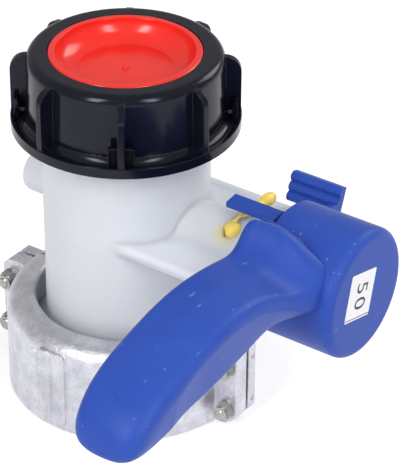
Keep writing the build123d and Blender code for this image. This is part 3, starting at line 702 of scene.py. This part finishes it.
rim_range = (bar_root_r, rim_front_r)
full_height = (groove_z, groove_z + pocket_height)
inner_half_width = pocket_half_width - rim_width
rim_bars = [
    (rim_range, (-pocket_half_width, -inner_half_width), full_height),
    (rim_range, (inner_half_width, pocket_half_width), full_height),
    (rim_range, (-pocket_half_width, pocket_half_width),
     (groove_z + pocket_height - rim_width, groove_z + pocket_height)),
]
sunk_face = [((bar_root_r, recess_front_r), (-inner_half_width, inner_half_width),
              (groove_z, groove_z + pocket_height - rim_width))]
for number in range(tab_count):
    angle = first_tab_angle + 360 / tab_count * number
    bars_on_cap(f"seal_rim_{number + 1}", angle, rim_bars, rim_rounding, black)
    # The sunk face wears the painted pocket shade.
    bars_on_cap(f"seal_recess_{number + 1}", angle, sunk_face, recess_rounding, pocket_shade_black)
print("seal pockets stand at radius", round(rim_front_r, 4))

# %% [markdown]
# ## Ridges on the thumb tab
#
# The thumb tab of the latch has three soft waves across its front, so that a wet thumb doesn't
# slip. The CAD tab has plain flat-topped ribs. A wave is laid over each of them: a profile of
# sine arches is drawn along the leaning tab and pulled along X, to the tab's full length.

# %% Thumb ridges
tab_foot = Vector((0.0, 0.0510, 0.0852))
tab_lean = math.radians(21.0)
tab_up = Vector((0.0, math.sin(tab_lean), math.cos(tab_lean)))
tab_front = Vector((0.0, -math.cos(tab_lean), math.sin(tab_lean)))
tab_height = 0.0139
tab_start_x, tab_end_x = 0.05104, 0.07696
ridge_count = 3
ridge_rise = 0.0017
ridge_fullness = 0.75
ridge_root = 0.0005
points_per_ridge = 12

ridge_mesh = bpy.data.meshes.new("thumb_ridges")
shape = bmesh.new()
profile = []
for point in range(ridge_count * points_per_ridge + 1):
    along = point / points_per_ridge
    rise = ridge_rise * abs(math.sin(math.pi * along)) ** ridge_fullness
    profile.append(tab_foot + tab_up * (tab_height * along / ridge_count) + tab_front * rise)
profile.append(profile[-1] - tab_front * ridge_root)
profile.append(tab_foot - tab_front * ridge_root)
ends = []
for x in (tab_start_x, tab_end_x):
    ends.append([shape.verts.new((x, place.y, place.z)) for place in profile])
for i in range(len(profile)):
    j = (i + 1) % len(profile)
    shape.faces.new((ends[0][i], ends[0][j], ends[1][j], ends[1][i])).smooth = True
for end in ends:
    shape.faces.new(end)
bmesh.ops.recalc_face_normals(shape, faces=shape.faces)
shape.to_mesh(ridge_mesh)
shape.free()
ridge_mesh.set_sharp_from_angle(angle=math.radians(60))
ridge_mesh.materials.append(blue.material)
ridges = linked("thumb_ridges", ridge_mesh)
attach(ridges, "latch_group")
print("ridges have", len(ridge_mesh.polygons), "faces")

# %% [markdown]
# ## The size label on the hub
#
# A small paper label is stuck on the flat end of the hub, a little askew. It is a thin sheet
# with rounded corners, and its two plain digits and the ruled line at its edge are printed on
# it. The digits read from top to bottom, so the label's own right is the world's down.

# %% Size label
paper = Finish("label_paper", IOR=1.45)
fibre = paper.noise(900.0, detail=4.0)
paper.set(Base_Color=paper.mix(fibre, colour(238, 239, 242), colour(250, 250, 251)))
paper.set(Roughness=0.38 + 0.15 * fibre)
paper.bump(fibre, 0.00002)
ink = Finish("label_ink", IOR=1.45)
ink.set(Base_Color=ink.mix(ink.noise(1500.0), colour(18, 18, 22), colour(34, 34, 38)))
ink.set(Roughness=0.35 + 0.1 * ink.noise(700.0))

hub_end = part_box("handle")[1][0]
paper_rise, ink_rise, sheet_root = 0.00004, 0.00006, -0.0002
half_width, half_height = 0.0098, 0.0108
line_low, line_high = -0.0101, -0.0097
paper_corner, line_corner = 0.0008, 0.00015
corner_steps = 4
label_middle = Vector((hub_end, -0.0045, 0.0924))
label_turn = math.radians(-14.5)
label_right = Vector((0.0, math.cos(label_turn), math.sin(label_turn)))
label_up = Vector((0.0, -math.sin(label_turn), math.cos(label_turn)))


def on_label(right, up, proud):
    """A point of the label, from its middle, and its height above the hub's end."""
    return label_middle + label_right * right + label_up * up + Vector((proud, 0.0, 0.0))


def sheet(name, corners, radius, proud, finish):
    """A thin sheet with rounded corners, given by two opposite corners on the label."""
    (x0, y0), (x1, y1) = corners
    mesh = bpy.data.meshes.new(name)
    shape = bmesh.new()
    rim = []
    for cx, cy, start in ((x1 - radius, y1 - radius, 0), (x0 + radius, y1 - radius, 90),
                          (x0 + radius, y0 + radius, 180), (x1 - radius, y0 + radius, 270)):
        for step in range(corner_steps + 1):
            angle = math.radians(start + 90 * step / corner_steps)
            rim.append((cx + radius * math.cos(angle), cy + radius * math.sin(angle)))
    top = [shape.verts.new(on_label(x, y, proud)) for x, y in rim]
    low = [shape.verts.new(on_label(x, y, sheet_root)) for x, y in rim]
    shape.faces.new(top)
    for i in range(len(rim)):
        j = (i + 1) % len(rim)
        shape.faces.new((low[i], low[j], top[j], top[i]))
    bmesh.ops.recalc_face_normals(shape, faces=shape.faces)
    shape.to_mesh(mesh)
    shape.free()
    mesh.materials.append(finish.material)
    piece = linked(name, mesh)
    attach(piece, "handle_group")


sheet("size_label", ((-half_width, -half_height), (half_width, half_height)), paper_corner,
      paper_rise, paper)
sheet("label_line", ((-half_width, line_low), (half_width, line_high)), line_corner,
      ink_rise, ink)
print("label stands at", [round(c, 4) for c in label_middle])

# %% [markdown]
# ## The digits
#
# The digits are plain print. A text curve is turned into a mesh, laid on the label a hair above
# the paper, and turned so that they read downwards.

# %% Digits on the label
digit_curve = bpy.data.curves.new("label_digits", "FONT")
digit_curve.body = "50"
digit_curve.size = 0.0122
digit_curve.align_x = "CENTER"
digit_curve.align_y = "CENTER"
digit_curve.space_character = 1.15
draft = bpy.data.objects.new("label_digits_draft", digit_curve)
digit_mesh = bpy.data.meshes.new_from_object(draft)
bpy.data.objects.remove(draft)
for vertex in digit_mesh.vertices:
    flat_x, flat_y = vertex.co.x, vertex.co.y
    vertex.co = on_label(flat_y, -flat_x, ink_rise)
digit_mesh.materials.clear()
digit_mesh.materials.append(ink.material)
digits = linked("label_digits", digit_mesh)
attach(digits, "handle_group")
print("digits have", len(digit_mesh.polygons), "faces")

# %% [markdown]
# ## Floor
#
# The photograph has a white ground. The floor is a pale surface. For the camera's own rays, and
# for those that a shiny or clear surface sends on, a little white is added to what the floor
# reflects, so the ground reads as white while the shadow stays.

# %% Floor
floor_half_size = 6.0
floor_drop = 0.0005
white_share = 0.42
floor_mesh = bpy.data.meshes.new("floor")
shape = bmesh.new()
bmesh.ops.create_grid(shape, x_segments=1, y_segments=1, size=floor_half_size)
shape.to_mesh(floor_mesh)
shape.free()
floor = linked("floor", floor_mesh)
floor.location.z = -floor_drop

ground = Finish("pale_floor", Base_Color=colour(226, 226, 228), Roughness=0.9,
                Emission_Strength=1.0)
seen = ground.node("ShaderNodeLightPath", output="Is Camera Ray")
glossy_ray = ground.node("ShaderNodeLightPath", output="Is Glossy Ray")
clear_ray = ground.node("ShaderNodeLightPath", output="Is Transmission Ray")
ground.set(Emission_Color=ground.mix(seen + glossy_ray + clear_ray, (0.0, 0.0, 0.0, 1.0),
                                     (white_share, white_share, white_share, 1.0)))
floor_mesh.materials.append(ground.material)
print("floor is", round(floor.dimensions.x, 1), "m wide")

# %% [markdown]
# ## Light
#
# A pale sky lights the valve from all round, so that no side falls dark. Two tall screens stand
# in front, left and right of the camera, and give the two bright streaks on the cap's wall. A
# third lamp stands at the rear, out of the line in which the cap's flat top would mirror it.

# %% Light
world = bpy.data.worlds.new("studio")
bpy.context.scene.world = world
world.use_nodes = True
background = world.node_tree.nodes["Background"]
background.inputs["Color"].default_value = (1.0, 1.0, 1.0, 1.0)
background.inputs["Strength"].default_value = 0.50


def soft_box(name, place, aim, width, height, watts):
    """A lamp with a soft screen that points at the valve."""
    data = bpy.data.lights.new(name, "AREA")
    data.shape = "RECTANGLE"
    data.size = width
    data.size_y = height
    data.energy = watts
    lamp = linked(name, data)
    lamp.location = place
    lamp.rotation_euler = (Vector(aim) - Vector(place)).to_track_quat("-Z", "Y").to_euler()


centre = (0.0, 0.0, 0.08)
soft_box("left_lamp", (0.02, -1.06, 0.84), centre, 0.26, 0.80, 7.5)
soft_box("right_lamp", (0.99, -0.42, 0.84), centre, 0.26, 0.80, 6.0)
soft_box("rear_lamp", (0.35, 1.05, 0.8), centre, 0.6, 0.6, 5.0)
bpy.context.scene.view_settings.view_transform = "Standard"

# %% [markdown]
# ## Finish

# %% Finish
print("scene set up")
